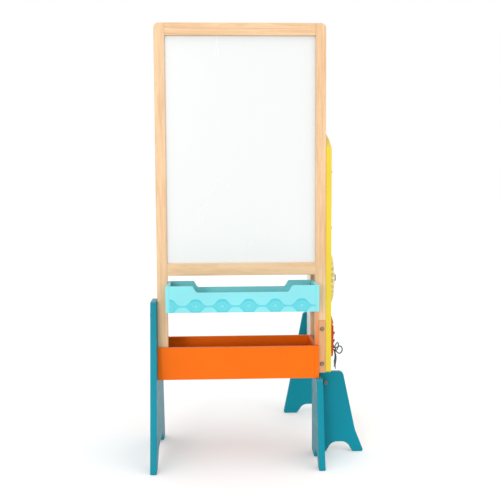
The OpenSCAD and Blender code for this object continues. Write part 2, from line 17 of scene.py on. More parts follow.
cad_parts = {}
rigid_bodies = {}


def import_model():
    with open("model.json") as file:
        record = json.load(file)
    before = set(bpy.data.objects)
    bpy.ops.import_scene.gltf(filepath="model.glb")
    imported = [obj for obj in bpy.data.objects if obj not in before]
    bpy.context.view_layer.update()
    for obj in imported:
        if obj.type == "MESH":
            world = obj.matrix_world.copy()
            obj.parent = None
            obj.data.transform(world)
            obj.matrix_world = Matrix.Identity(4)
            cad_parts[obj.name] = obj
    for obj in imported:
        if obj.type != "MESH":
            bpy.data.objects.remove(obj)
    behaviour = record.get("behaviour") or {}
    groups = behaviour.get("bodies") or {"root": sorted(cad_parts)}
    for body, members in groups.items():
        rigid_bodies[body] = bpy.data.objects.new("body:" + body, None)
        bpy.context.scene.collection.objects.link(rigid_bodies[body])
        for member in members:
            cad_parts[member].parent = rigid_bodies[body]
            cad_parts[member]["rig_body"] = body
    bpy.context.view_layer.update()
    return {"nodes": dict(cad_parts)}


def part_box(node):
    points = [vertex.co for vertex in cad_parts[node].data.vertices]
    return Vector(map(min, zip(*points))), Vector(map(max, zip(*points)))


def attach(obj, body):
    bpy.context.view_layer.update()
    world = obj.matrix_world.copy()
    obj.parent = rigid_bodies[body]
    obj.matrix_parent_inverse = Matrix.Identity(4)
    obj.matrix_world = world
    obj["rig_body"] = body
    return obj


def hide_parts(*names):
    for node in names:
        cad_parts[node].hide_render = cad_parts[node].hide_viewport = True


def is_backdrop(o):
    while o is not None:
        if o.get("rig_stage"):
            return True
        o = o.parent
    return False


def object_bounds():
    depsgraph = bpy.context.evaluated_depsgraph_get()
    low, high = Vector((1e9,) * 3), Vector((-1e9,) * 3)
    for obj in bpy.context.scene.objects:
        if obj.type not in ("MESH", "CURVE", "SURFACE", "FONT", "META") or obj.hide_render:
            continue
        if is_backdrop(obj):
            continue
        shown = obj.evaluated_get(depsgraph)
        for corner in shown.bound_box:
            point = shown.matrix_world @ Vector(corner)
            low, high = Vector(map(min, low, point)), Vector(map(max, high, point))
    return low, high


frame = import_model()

MM = 0.001
NODES = frame["nodes"]


def middle(node):
    """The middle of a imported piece's box."""
    low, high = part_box(node)
    return (low + high) / 2


# %% [markdown]
# ## The camera
#
# A catalogue picture of furniture is taken from well back with a longish lens, so that upright boards stay
# upright. The camera stands a little left of the drawing board at about a child's eye height, and looks
# slightly down. Its place is given from the middle of the board's front, which is easy to find again.

# %% Place the camera
LENS = 56.16
FROM_FRAME = Vector((-0.0603, -2.0923, 0.742))
PAN, TILT, ROLL = -2.28, 85.61, -0.29

front_middle = Vector((middle("whiteboard").x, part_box("left_stile")[0].y, 0))
camera = bpy.data.objects.new("camera", bpy.data.cameras.new("camera"))
camera.data.lens = LENS
camera.location = front_middle + FROM_FRAME
aim = (Matrix.Rotation(math.radians(PAN), 4, "Z") @ Matrix.Rotation(math.radians(TILT), 4, "X")
       @ Matrix.Rotation(math.radians(ROLL), 4, "Z"))
camera.rotation_euler = aim.to_euler()
bpy.context.scene.collection.objects.link(camera)
bpy.context.scene.camera = camera
print("camera at", [round(place, 3) for place in camera.location])

# %% [markdown]
# ## The laces
#
# A lacing toy has a soft braided cord of about 3.6 mm. Each free end leaves the lowest eyelet, goes through
# the bow's knot, round one loop and down to a tip. A curve with a round bevel gives the tube. Braid is
# two families of strands that cross, so each ring of the tube is pushed in and out by two waves that turn
# opposite ways, and the same wave is kept as an attribute for the colour.

# %% A smooth line through chosen points
def smooth_line(points, steps):
    """Points of a curve that passes through every chosen point."""
    line = []
    last = len(points) - 1
    for i in range(last):
        before, a, b, after = (points[max(0, min(last, i + k))] for k in (-1, 0, 1, 2))
        for k in range(steps):
            t = k / steps
            line.append((2 * a + (b - before) * t + (2 * before - 5 * a + 4 * b - after) * t * t
                         + (3 * a - before - 3 * b + after) * t ** 3) / 2)
    return line + [points[last]]


def line_length(line):
    """Length along a line of points."""
    return sum((b - a).length for a, b in zip(line, line[1:]))


def evenly(line, gap):
    """The same line with a point about every gap."""
    count = max(2, round(line_length(line) / gap))
    step = line_length(line) / count
    points, walked, target = [line[0]], 0.0, step
    for a, b in zip(line, line[1:]):
        span = (b - a).length
        while span > 0 and target <= walked + span + 1e-9 and len(points) < count:
            points.append(a.lerp(b, (target - walked) / span))
            target += step
        walked += span
    return points + [line[-1]]


# %% A braided cord along a line
LACE_D = 3.6 * MM
SIDES = 18
BRAID_STRANDS = 4
BRAID_PITCH = 7.0 * MM
BRAID_DEPTH = 0.13
RING_STEP = 0.45 * MM


def braided(name, lines, diameter):
    """A braided tube along each of some lines, as one object."""
    bm = bmesh.new()
    strand = bm.verts.layers.float.new("strand")
    for line in lines:
        points = evenly(line, RING_STEP)
        curve = bpy.data.curves.new(name + "_line", "CURVE")
        curve.dimensions = "3D"
        curve.bevel_depth = diameter / 2
        curve.bevel_resolution = SIDES // 2 - 2
        curve.use_fill_caps = True
        spline = curve.splines.new("POLY")
        spline.points.add(len(points) - 1)
        for place, point in zip(spline.points, points):
            place.co = (*point, 1)
        holder = bpy.data.objects.new(name + "_line", curve)
        tube = bpy.data.meshes.new_from_object(holder)
        bpy.data.objects.remove(holder)
        known = len(bm.verts)
        bm.from_mesh(tube)
        bm.verts.ensure_lookup_table()
        sides = (len(bm.verts) - known) // len(points)
        for i, at in enumerate(points):
            for k in range(sides):
                vert = bm.verts[known + i * sides + k]
                along = 2 * math.pi * i * RING_STEP / BRAID_PITCH
                round_it = 2 * math.pi * BRAID_STRANDS * k / sides
                height = max(math.cos(round_it + 2 * along), math.cos(round_it - 2 * along))
                vert[strand] = 0.5 + 0.5 * height
                vert.co = at + (vert.co - at) * (1 - BRAID_DEPTH * (0.5 - 0.5 * height))
    return make_object(name, bm)


CORNER = math.radians(40)


def make_object(name, bm):
    """Close a bmesh into an object at the origin, smooth but for its real corners."""
    mesh = bpy.data.meshes.new(name)
    bm.to_mesh(mesh)
    bm.free()
    mesh.shade_smooth()
    mesh.set_sharp_from_angle(angle=CORNER)
    piece = bpy.data.objects.new(name, mesh)
    bpy.context.scene.collection.objects.link(piece)
    return piece


def body_name(node):
    """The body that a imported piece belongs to."""
    return NODES[node]["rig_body"]


def stand_for(piece, node):
    """Let a new piece take the place of a packed one, on the same body."""
    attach(piece, body_name(node))
    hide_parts(node)
    return piece


# %% The two free ends of the lace
LACE_ROUTE = [
    (-7, -15, 9.5), (-4, -15, 9.2), (-1.5, -11.5, 7), (0, -6, 3.6), (1, 0, 2.4), (2.5, 6, 3),
    (5, 13, 6.5), (9, 20, 10.5), (13, 26.5, 12), (16, 31, 9), (17, 32.5, 3), (15, 30.5, -4),
    (11.5, 25, -8.5), (8, 18, -9), (4.5, 11, -7), (1.5, 5, -4.6), (0, 0, -3.6), (0, -5, -6),
    (1.5, -9, -11), (3, -11, -18), (3.4, -12, -26), (2.6, -12.4, -34), (1.4, -12.6, -42)]
bow = middle("lace_knot")

laces = {}
for name, side, lift in (("lace_left", 1, 0), ("lace_right", -1, 0.2 * LACE_D)):
    route = [bow + Vector((x * MM + lift, side * y * MM, z * MM)) for x, y, z in LACE_ROUTE]
    line = smooth_line(route, 12)
    laces[name] = (stand_for(braided(name + "_cord", [line], LACE_D), name), line)
    print(name, "runs", round(line_length(line), 4), "m")

# %% [markdown]
# ## Knot, crossings and tips
#
# The knot is the cord wrapped round itself nearly twice, so it is the same braided tube along a short
# coil. The crossings go up out of one eyelet, lie over the tongue and go down into another. The tips are
# crimped plastic sleeves, which a lathe profile spun round its axis gives in one step.

# %% Knot and crossings
def coil_line(centre, radius, half_width, turns, steps=48):
    """A coil about the Y axis."""
    line = []
    for i in range(steps + 1):
        share = i / steps
        angle = 2 * math.pi * turns * share
        across = half_width * (2 * share - 1)
        line.append(centre + Vector((radius * math.cos(angle), across, radius * math.sin(angle))))
    return line


KNOT_R, KNOT_HALF_WIDTH, KNOT_TURNS = 4.0 * MM, 2.1 * MM, 1.8
KNOT_LACE_D = 3.5 * MM
knot_line = coil_line(bow, KNOT_R, KNOT_HALF_WIDTH, KNOT_TURNS)
knot = stand_for(braided("lace_knot_wrap", [knot_line], KNOT_LACE_D), "lace_knot")
SAME_PLACE = 0.01 * MM


def islands(node):
    """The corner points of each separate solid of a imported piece, in the order that they are stored."""
    bm = bmesh.new()
    bm.from_mesh(NODES[node].data)
    bmesh.ops.remove_doubles(bm, verts=bm.verts, dist=SAME_PLACE)
    bm.verts.ensure_lookup_table()
    seen, groups = set(), []
    for first in bm.verts:
        if first.index in seen:
            continue
        seen.add(first.index)
        group, waiting = [], [first]
        while waiting:
            vert = waiting.pop()
            group.append(vert.co.copy())
            for edge in vert.link_edges:
                other = edge.other_vert(vert)
                if other.index not in seen:
                    seen.add(other.index)
                    waiting.append(other)
        groups.append(group)
    bm.free()
    return groups


def corners(points):
    """Lowest and highest corner of some points."""
    low = Vector([min(p[k] for p in points) for k in range(3)])
    high = Vector([max(p[k] for p in points) for k in range(3)])
    return low, high


EYELET_DIP = 3.4 * MM
CROSSING_D = 0.97 * LACE_D


def crossing_line(group):
    """A run of lace from eyelet to eyelet: it dips into both and is highest between them."""
    low, high = corners(group)
    reach = LACE_D / 2
    left = [p for p in group if p.y < low.y + reach * 1.2]
    slope_up = sum(p.z for p in left) / len(left) < (low.z + high.z) / 2
    z_from, z_to = (low.z + reach, high.z - reach) if slope_up else (high.z - reach, low.z + reach)
    x = (low.x + high.x) / 2
    start = Vector((x, low.y + reach * 0.6, z_from))
    end = Vector((x, high.y - reach * 0.6, z_to))
    dip = Vector((EYELET_DIP, 0, 0))
    over = [start.lerp(end, quarter / 4) for quarter in range(5)]
    return smooth_line([start - dip, *over, end - dip], 8)


crossing_lines = [crossing_line(group) for group in islands("lace_crossings")]
crossings = stand_for(braided("lace_crossing_runs", crossing_lines, CROSSING_D), "lace_crossings")
print("crossings:", len(crossing_lines))


# %% Shapes turned on a lathe
def spun(profile, steps, close):
    """A profile of (radius, height) pairs spun about the Z axis, with no seam."""
    bm = bmesh.new()
    verts = [bm.verts.new((radius, 0, height)) for radius, height in profile]
    edges = [bm.edges.new(pair) for pair in zip(verts, verts[1:])]
    if close:
        edges.append(bm.edges.new((verts[-1], verts[0])))
    bmesh.ops.spin(bm, geom=verts + edges, cent=(0, 0, 0), axis=(0, 0, 1), dvec=(0, 0, 0),
                   angle=2 * math.pi, steps=steps, use_merge=True, use_duplicate=False)
    bmesh.ops.remove_doubles(bm, verts=bm.verts, dist=0.001 * MM)
    return bm


def as_mesh(bm, name):
    """Turn a bmesh's faces outwards and keep it as a mesh."""
    bmesh.ops.recalc_face_normals(bm, faces=bm.faces)
    mesh = bpy.data.meshes.new(name)
    bm.to_mesh(mesh)
    bm.free()
    return mesh


def turned(profile, steps):
    """A lathe-turned mesh: solid if its profile starts on the axis, otherwise a ring."""
    return as_mesh(spun(profile, steps, profile[0][0] > 0), "turned")


def placed(name, shapes):
    """One object from (mesh, placing matrix) pairs."""
    bm = bmesh.new()
    for mesh, matrix in shapes:
        known = len(bm.verts)
        bm.from_mesh(mesh)
        bm.verts.ensure_lookup_table()
        bmesh.ops.transform(bm, matrix=matrix, verts=bm.verts[known:])
    return make_object(name, bm)


TIP_R, TIP_H = 1.6 * MM, 7 * MM
TIP_SHARES = ((0, -1), (0.6, -1), (0.86, -0.94), (0.94, -0.8), (0.94, 0.3), (0.84, 0.36), (0.94, 0.42),
              (0.94, 0.6), (0.84, 0.66), (0.94, 0.72), (1, 0.9), (1, 1), (0, 1))
tip_mesh = turned([(TIP_R * across, TIP_H * up) for across, up in TIP_SHARES], 24)
tip_on = {}
for group in islands("lace_tips"):
    low, high = corners(group)
    side = "left" if (low.y + high.y) / 2 < bow.y else "right"
    tip = placed(f"lace_tip_{side}", [(tip_mesh, Matrix.Translation((low + high) / 2))])
    tip_on[side] = stand_for(tip, "lace_tips")
for name, side in (("lace_left", "left"), ("lace_right", "right")):
    cord, line = laces[name]
print("tips:", len(tip_on))

# %% [markdown]
# ## Floor and light
#
# Catalogue pictures are lit by large soft lamps in a white room, and the floor runs into the backdrop. The
# front lamp is low, so it reaches under the tray to the back of the bin, and it stands a little to the
# left, so the side panel shades the stile beside it. The top lamp gives the soft shadow between the feet,
# and the right lamp lights the gears. The floor glows a little, as a lit sweep does, which thins the orange
# that the bin throws into its shadow. The standard view keeps paint colours as they are mixed.

# %% Floor
FLOOR_SIZE = 30
FLOOR_GLOW = 0.15
FLOOR_GREY = (0.75, 0.75, 0.75, 1)

floor_bm = bmesh.new()
bmesh.ops.create_grid(floor_bm, x_segments=1, y_segments=1, size=FLOOR_SIZE)
floor = make_object("studio_floor", floor_bm)
floor_paint = bpy.data.materials.new("studio_floor")
floor_paint.use_nodes = True
floor_shader = floor_paint.node_tree.nodes["Principled BSDF"]
floor_shader.inputs["Base Color"].default_value = FLOOR_GREY
floor_shader.inputs["Emission Color"].default_value = (1, 1, 1, 1)
floor_shader.inputs["Emission Strength"].default_value = FLOOR_GLOW
floor_shader.inputs["Roughness"].default_value = 0.8
floor_shader.inputs["Specular IOR Level"].default_value = 0.1
floor.data.materials.append(floor_paint)
floor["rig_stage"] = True
print("floor", 2 * FLOOR_SIZE, "m across")

# %% World and lamps
# For each lamp: its strength, the angle of its disc and its turn about each axis, in degrees
LAMPS = {"front_lamp": (0.85, 12, (82, 0, -16)), "top_lamp": (0.7, 50, (24, 0, -8)),
         "right_lamp": (0.5, 60, (60, 0, 75))}

world = bpy.data.worlds.new("studio")
world.use_nodes = True
backdrop = world.node_tree.nodes["Background"]
backdrop.inputs["Color"].default_value = (1, 1, 1, 1)
backdrop.inputs["Strength"].default_value = 1.0
bpy.context.scene.world = world
bpy.context.scene.view_settings.view_transform = "Standard"

for name, (energy, disc, turn) in LAMPS.items():
    lamp = bpy.data.objects.new(name, bpy.data.lights.new(name, "SUN"))
    lamp.data.energy = energy
    lamp.data.angle = math.radians(disc)
    lamp.rotation_euler = [math.radians(angle) for angle in turn]
    bpy.context.scene.collection.objects.link(lamp)
print("lamps:", ", ".join(LAMPS))

# %% [markdown]
# ## Building materials from nodes
#
# Every finish is a small tree of nodes. Adding a node takes four or five lines each time, so one helper
# adds a node, sets its options and feeds its inputs from a value or from another node. Paint colours are
# given as on a paint card, from 0 to 255, and are turned into linear light here.

# %% Node helpers
def paint(red, green, blue):
    """A paint card's colour as the linear colour that shaders use."""
    return [((part / 255 + 0.055) / 1.055) ** 2.4 for part in (red, green, blue)] + [1]


def scaled(colour, share):
    """A lighter or darker version of a colour."""
    return [min(1, part * share) for part in colour[:3]] + [1]


def add(tree, kind, feeds, **options):
    """Add a node, with its options set and its inputs fed."""
    made = tree.nodes.new(kind)
    for key, value in options.items():
        setattr(made, key, value)
    for key, value in feeds.items():
        if isinstance(value, bpy.types.NodeSocket):
            tree.links.new(value, made.inputs[key])
        else:
            made.inputs[key].default_value = value
    return made


def maths(tree, operation, *values):
    """A Math node's result."""
    return add(tree, "ShaderNodeMath", dict(enumerate(values)), operation=operation).outputs[0]


def remap(tree, value, low, high, to_low=0.0, to_high=1.0):
    """Stretch the part of a value between low and high over a new range."""
    return add(tree, "ShaderNodeMapRange", {"Value": value, "From Min": low, "From Max": high,
                                            "To Min": to_low, "To Max": to_high}).outputs[0]


def noise(tree, place, scale, detail=2.0, roughness=0.5, distortion=0.0):
    """A noise texture's value."""
    return add(tree, "ShaderNodeTexNoise", {"Vector": place, "Scale": scale, "Detail": detail,
                                            "Roughness": roughness, "Distortion": distortion}).outputs[0]


def mixed(tree, share, first, second):
    """Two colours mixed by a share."""
    return add(tree, "ShaderNodeMix", {0: share, 6: first, 7: second}, data_type="RGBA").outputs[2]


def stretched(tree, place, scale, turn=(0, 0, 0)):
    """Object coordinates, scaled and turned for a pattern."""
    return add(tree, "ShaderNodeMapping", {"Vector": place, "Scale": scale, "Rotation": turn}).outputs[0]


def new_group(name, inputs, outputs):
    """A node group with named inputs, as (name, socket type, value), and named outputs."""
    tree = bpy.data.node_groups.new(name, "ShaderNodeTree")
    for label, kind, value in inputs:
        socket = tree.interface.new_socket(label, in_out="INPUT", socket_type=kind)
        if value is not None:
            socket.default_value = value
    for label, kind in outputs:
        tree.interface.new_socket(label, in_out="OUTPUT", socket_type=kind)
    return tree, tree.nodes.new("NodeGroupInput").outputs, tree.nodes.new("NodeGroupOutput").inputs


def use(tree, group, **feeds):
    """Place a node group in a material; an input's name is given with _ for its spaces."""
    made = tree.nodes.new("ShaderNodeGroup")
    made.node_tree = group
    for key, value in feeds.items():
        socket = made.inputs[key.replace("_", " ")]
        if isinstance(value, bpy.types.NodeSocket):
            tree.links.new(value, socket)
        else:
            socket.default_value = value
    return made.outputs


def new_material(name, **constants):
    """A material, its tree, its shader and its Object coordinates. Constants go on the shader's sockets."""
    material = bpy.data.materials.new(name)
    material.use_nodes = True
    tree = material.node_tree
    shader = tree.nodes["Principled BSDF"]
    for key, value in constants.items():
        shader.inputs[key.replace("_", " ")].default_value = value
    place = tree.nodes.new("ShaderNodeTexCoord").outputs["Object"]
    return material, tree, shader, place


def facing(tree):
    """How far a face looks along X, Y and Z."""
    normal = tree.nodes.new("ShaderNodeNewGeometry").outputs["Normal"]
    return add(tree, "ShaderNodeSeparateXYZ", {0: normal}).outputs


def finish(tree, shader, colour, roughness, height, depth):
    """Feed a shader its colour and roughness, and a height as a bump."""
    bump = add(tree, "ShaderNodeBump", {"Height": height, "Distance": depth, "Strength": 1.0})
    tree.links.new(colour, shader.inputs["Base Color"])
    tree.links.new(roughness, shader.inputs["Roughness"])
    tree.links.new(bump.outputs[0], shader.inputs["Normal"])


# %% [markdown]
# ## Shared effects
#
# Four effects turn up on many pieces, so each is a node group made once. Edge wear compares the true normal
# with one that is rounded over a few millimetres: where they differ there is an edge. Its rubbed patches are
# wear that hands leave; the materials also use the whole edge for a painted highlight.
# Grain is noise stretched along the board. A paint film has slow clouds of tone and the fine orange peel
# that a spray gun leaves. Dust settles on faces that look up.

# %% Edge wear and edge highlight mask
edge_wear_and_highlight, given, out = new_group(
    "edge_wear_and_highlight",
    [("Vector", "NodeSocketVector", None), ("Width", "NodeSocketFloat", 0.003),
     ("Break Up", "NodeSocketFloat", 90.0)],
    [("Edge", "NodeSocketFloat"), ("Rubbed", "NodeSocketFloat")])
rounded_normal = add(edge_wear_and_highlight, "ShaderNodeBevel", {"Radius": given["Width"]}, samples=4).outputs[0]
true_normal = edge_wear_and_highlight.nodes.new("ShaderNodeNewGeometry").outputs["Normal"]
likeness = add(edge_wear_and_highlight, "ShaderNodeVectorMath", {0: rounded_normal, 1: true_normal},
               operation="DOT_PRODUCT").outputs["Value"]
edge = remap(edge_wear_and_highlight, likeness, 0.995, 0.80)
patches = remap(edge_wear_and_highlight, noise(edge_wear_and_highlight, given["Vector"], given["Break Up"], 4), 0.42, 0.62)
edge_wear_and_highlight.links.new(edge, out["Edge"])
edge_wear_and_highlight.links.new(maths(edge_wear_and_highlight, "MULTIPLY", edge, patches), out["Rubbed"])

# %% Wood grain
wood_grain, given, out = new_group(
    "wood_grain",
    [("Vector", "NodeSocketVector", None), ("Fineness", "NodeSocketFloat", 130.0)],
    [("Rings", "NodeSocketFloat"), ("Pores", "NodeSocketFloat"), ("Tone", "NodeSocketFloat")])
wander = noise(wood_grain, given["Vector"], 9, 2)
swayed = add(wood_grain, "ShaderNodeVectorMath", {0: given["Vector"], 1: wander, 2: (0.03, 0.03, 0.03)},
             operation="MULTIPLY_ADD").outputs[0]
bend = add(wood_grain, "ShaderNodeVectorMath", {0: given["Vector"], 1: swayed}, operation="ADD").outputs[0]
rings = noise(wood_grain, bend, maths(wood_grain, "MULTIPLY", given["Fineness"], 0.5), 3, 0.65)
pores = noise(wood_grain, given["Vector"], maths(wood_grain, "MULTIPLY", given["Fineness"], 7.0), 2, 0.7)
wood_grain.links.new(remap(wood_grain, rings, 0.40, 0.66), out["Rings"])
wood_grain.links.new(remap(wood_grain, pores, 0.52, 0.72), out["Pores"])
wood_grain.links.new(noise(wood_grain, given["Vector"], 14, 3), out["Tone"])

# %% Paint film
paint_film, given, out = new_group(
    "paint_film",
    [("Vector", "NodeSocketVector", None), ("Cloud", "NodeSocketFloat", 7.0),
     ("Peel", "NodeSocketFloat", 420.0)],
    [("Tone", "NodeSocketFloat"), ("Gloss", "NodeSocketFloat"), ("Height", "NodeSocketFloat")])
paint_film.links.new(noise(paint_film, given["Vector"], given["Cloud"], 4), out["Tone"])
finer = maths(paint_film, "MULTIPLY", given["Cloud"], 6.0)
paint_film.links.new(noise(paint_film, given["Vector"], finer, 3), out["Gloss"])
paint_film.links.new(noise(paint_film, given["Vector"], given["Peel"], 1.5), out["Height"])

# %% Settled dust
settled_dust, given, out = new_group(
    "settled_dust",
    [("Vector", "NodeSocketVector", None), ("Amount", "NodeSocketFloat", 0.2)],
    [("Dust", "NodeSocketFloat")])
level = remap(settled_dust, facing(settled_dust)["Z"], 0.6, 0.98)
lies = maths(settled_dust, "MULTIPLY", level, given["Amount"])
grains = remap(settled_dust, noise(settled_dust, given["Vector"], 60, 6, 0.7), 0.38, 0.7)
settled_dust.links.new(maths(settled_dust, "MULTIPLY", lies, grains), out["Dust"])
print("effects:", [group.name for group in (edge_wear_and_highlight, wood_grain, paint_film, settled_dust)])

# %% [markdown]
# ## Pine
#
# The frame is clear pine under satin lacquer: pale straw wood with straight, slightly darker late-wood
# lines along each board. The same tree serves upright boards and rails, with the pattern stretched along
# the board's own length. Rounded arrises are painted a little lighter, a painted highlight. The corner
# batten's pine is darker and pinker: painted shade and painted orange bounce from the bin. The right
# stile's inner front, in line with the bin's end, carries the bin's orange as a painted reflection, fading
# up towards the tray.

# %% Pine and beech
DUST = paint(196, 190, 182)
LACQUER_IOR = 1.3
ALONG_STRETCH = {"X": (0.035, 1, 1), "Z": (1, 1, 0.035)}
# The bin's orange as it shows on the right stile's front just above the bin: a painted reflection
PAINTED_BOUNCE = paint(226, 104, 18)
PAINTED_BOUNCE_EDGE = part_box("bin_right_end")[1].x
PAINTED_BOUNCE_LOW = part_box("bin_right_end")[1].z + 10 * MM
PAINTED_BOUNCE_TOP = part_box("tray_front")[0].z
SOFT_SIDE, SOFT_TOP = 0.4 * MM, 0.5 * MM


def wood(name, early, late, along, contrast=0.75, strip=None):
    """Lacquered softwood whose grain runs along one axis, with a strip of painted reflection if one is given.
    """
    material, tree, shader, place = new_material(name, IOR=LACQUER_IOR, Coat_Weight=0.12,
                                                 Coat_Roughness=0.3, Coat_IOR=LACQUER_IOR)
    run = stretched(tree, place, ALONG_STRETCH[along])
    grain = use(tree, wood_grain, Vector=run, Fineness=150.0)
    wear_and_highlight = use(tree, edge_wear_and_highlight, Vector=place, Width=0.0025, Break_Up=70.0)
    dust = use(tree, settled_dust, Vector=place, Amount=0.12)
    base = mixed(tree, maths(tree, "MULTIPLY", grain["Rings"], contrast), early, late)
    toned = mixed(tree, maths(tree, "MULTIPLY", grain["Tone"], 0.22), base, scaled(early, 1.08))
    pored = mixed(tree, maths(tree, "MULTIPLY", grain["Pores"], 0.28), toned, scaled(late, 0.82))
    # Rounded arrises are lightened: a painted highlight
    with_painted_light = mixed(tree, maths(tree, "MULTIPLY", wear_and_highlight["Edge"], 0.25), pored, scaled(early, 1.06))
    if strip:
        # Mix the bin's orange into the strip: a painted reflection
        with_painted_light = mixed(tree, strip(tree, place), with_painted_light, PAINTED_BOUNCE)
    dusty = mixed(tree, dust["Dust"], with_painted_light, DUST)
    height = maths(tree, "ADD", grain["Rings"], maths(tree, "MULTIPLY", grain["Pores"], -0.8))
    finish(tree, shader, dusty, remap(tree, grain["Pores"], 0, 1, 0.4, 0.58), height, 0.00012)
    return material


def painted_bounce_strip(tree, place):
    """How much of the bin's orange, as a painted reflection, lies on the right stile's front, strongest just
    above the bin.
    """
    axes = add(tree, "ShaderNodeSeparateXYZ", {0: place}).outputs
    on_front = remap(tree, facing(tree)["Y"], -0.6, -0.95)
    beside = remap(tree, axes["X"], PAINTED_BOUNCE_EDGE + SOFT_SIDE, PAINTED_BOUNCE_EDGE - SOFT_SIDE)
    fade = remap(tree, axes["Z"], PAINTED_BOUNCE_TOP, PAINTED_BOUNCE_LOW, 0.3, 0.95)
    below = remap(tree, axes["Z"], PAINTED_BOUNCE_TOP + SOFT_TOP, PAINTED_BOUNCE_TOP - SOFT_TOP)
    inside = maths(tree, "MULTIPLY", on_front, beside)
    return maths(tree, "MULTIPLY", inside, maths(tree, "MULTIPLY", fade, below))


PINE_EARLY, PINE_LATE = paint(217, 184, 146), paint(194, 150, 106)
pine = {along: wood(f"pine_along_{along.lower()}", PINE_EARLY, PINE_LATE, along) for along in "XZ"}
# The right stile's pine carries the painted reflection of the bin's orange
stile_pine = wood("pine_with_painted_bounce", PINE_EARLY, PINE_LATE, "Z", strip=painted_bounce_strip)
# The batten's pine is darker and pinker than the frame's: painted shade and painted orange bounce from the
# bin
shaded_batten_pine = wood("pine_batten_shaded", paint(203, 152, 108), paint(181, 126, 84), "Z")
beech = wood("beech_dowel", paint(214, 172, 128), paint(190, 145, 102), "X", 0.5)
print("woods:", [made.name for made in (*pine.values(), stile_pine, shaded_batten_pine, beech)])

# %% [markdown]
# ## Painted board
#
# Tray, bin, panels and activity board are medium board with sprayed satin paint. A sprayed colour isn't
# flat: it drifts a little over the panel and gathers dust on top, and wear rubs its edges. The rounded edges
# are also painted a lighter tone, a painted highlight. A clear coat gives the soft sheen that lights up when
# the panel is seen along its face.

# %% Painted board
PAINT_IOR = 1.2


def colour_clouds(tree, place, colour, drift=0.06):
    """A paint colour that drifts slowly over the board."""
    film = use(tree, paint_film, Vector=place, Cloud=5.0)
    darker, lighter = scaled(colour, 1 - drift), scaled(colour, 1 + drift)
    return mixed(tree, remap(tree, film["Tone"], 0.3, 0.7), darker, lighter)


def painted(name, colour, edge_highlight_share=1.12, drawn=colour_clouds):
    """Satin paint on board: what is drawn, a painted edge highlight, edge wear, dust, sheen and orange peel.
    """
    material, tree, shader, place = new_material(name, IOR=PAINT_IOR, Coat_Weight=0.15,
                                                 Coat_Roughness=0.28, Coat_IOR=PAINT_IOR)
    film = use(tree, paint_film, Vector=place, Cloud=6.0, Peel=380.0)
    wear_and_highlight = use(tree, edge_wear_and_highlight, Vector=place, Width=0.003)
    dust = use(tree, settled_dust, Vector=place, Amount=0.22)
    # Rounded edges are lightened towards a lighter paint: a painted highlight
    edge_highlighted = mixed(tree, maths(tree, "MULTIPLY", wear_and_highlight["Edge"], 0.7), drawn(tree, place, colour),
                  scaled(colour, edge_highlight_share))
    rubbed = mixed(tree, maths(tree, "MULTIPLY", wear_and_highlight["Rubbed"], 0.18), edge_highlighted, scaled(colour, 1.35))
    dusty = mixed(tree, dust["Dust"], rubbed, DUST)
    gloss = remap(tree, film["Gloss"], 0.3, 0.7, 0.37, 0.48)
    finish(tree, shader, dusty, gloss, film["Height"], 0.00006)
    return material


TEAL, ORANGE, AQUA = paint(0, 125, 142), paint(228, 102, 0), paint(125, 202, 208)
YELLOW, RED, TAN, CREAM = paint(213, 187, 58), paint(196, 66, 28), paint(184, 112, 48), paint(228, 208, 168)
teal = painted("teal_paint", TEAL, 1.0)
orange = painted("orange_paint", ORANGE, 1.05)
aqua = painted("aqua_paint", AQUA, 1.05)
shoe_red = painted("shoe_red", RED)
shoe_tan = painted("shoe_tan", TAN)
shoe_cream = painted("shoe_cream", CREAM)
print("paints:", [made.name for made in (teal, orange, aqua, shoe_red, shoe_tan, shoe_cream)])

# %% [markdown]
# ## The tray's printed band
#
# A darker wave runs along the lower half of the tray's front, with a ringed dot under each crest. It is
# printed, so it has no thickness and belongs in the material. Everything is worked out from the distance to
# the nearest crest: the band is widest at the crest and thin between, and the rings are circles about it.

# %% Tray front with its wave
tray_low, tray_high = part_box("tray_front")
CREST_GAP = 69 * MM
CREST_Z = 16.5 * MM
CREST_SHIFT = 16 * MM
BAND_HALF, BAND_THIN = 19 * MM, 2.2 * MM
CORE_WIDTH, CORE_PALER, PRINT_STRENGTH = 0.72, 0.28, 0.85
PRINT_EDGE = 0.5 * MM
WAVE = paint(62, 178, 190)
# For each ring of the dot: its radius and how dark it is
RINGS = ((10.2 * MM, 0.55), (7.4 * MM, 0.9), (4.6 * MM, 0.15), (2.2 * MM, 0.75))


